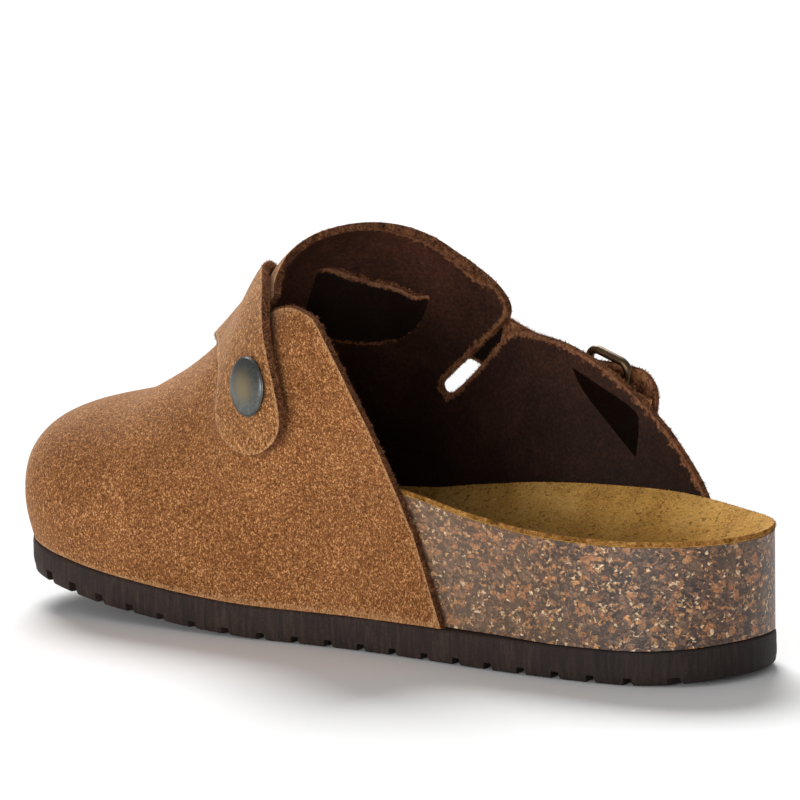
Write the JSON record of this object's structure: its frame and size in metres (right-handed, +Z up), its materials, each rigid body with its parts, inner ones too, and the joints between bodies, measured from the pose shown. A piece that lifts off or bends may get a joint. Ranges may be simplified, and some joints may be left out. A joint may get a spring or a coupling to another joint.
{
  "type": "clog mule",
  "caption": "Closed-toe suede clog mule for the right foot: one-piece upper with a raised tongue, a riveted and buckled instep strap, lined cork footbed and a grooved rubber outsole.",
  "frame": {"origin": "middle of the shoe's whole box, on the floor the sole stands on", "axes": "+X to the toe, +Y to the inner side of the foot, +Z up"},
  "size_m": [0.257, 0.1006, 0.1186],
  "materials": {
    "outsole": "matt dark brown expanded rubber with a moulded grain",
    "cork": "lacquered cork granules, dark with pale flecks",
    "lining": "ochre suede split, matt",
    "upper_suede": "brushed tan-brown suede, dark smooth inner side",
    "strap_suede": "brushed tan-brown suede with raw cut edges",
    "metal": "antique dark brass, satin"
  },
  "bodies": {
    "root": {"outsole": "outsole", "cork_footbed": "cork", "insole_lining": "lining", "upper": "upper_suede", "strap": "strap_suede", "strap_rivet": "metal", "buckle_frame": "metal", "buckle_prong": "metal", "buckle_tab": "strap_suede", "tab_rivet": "metal"}
  },
  "joints": []
}
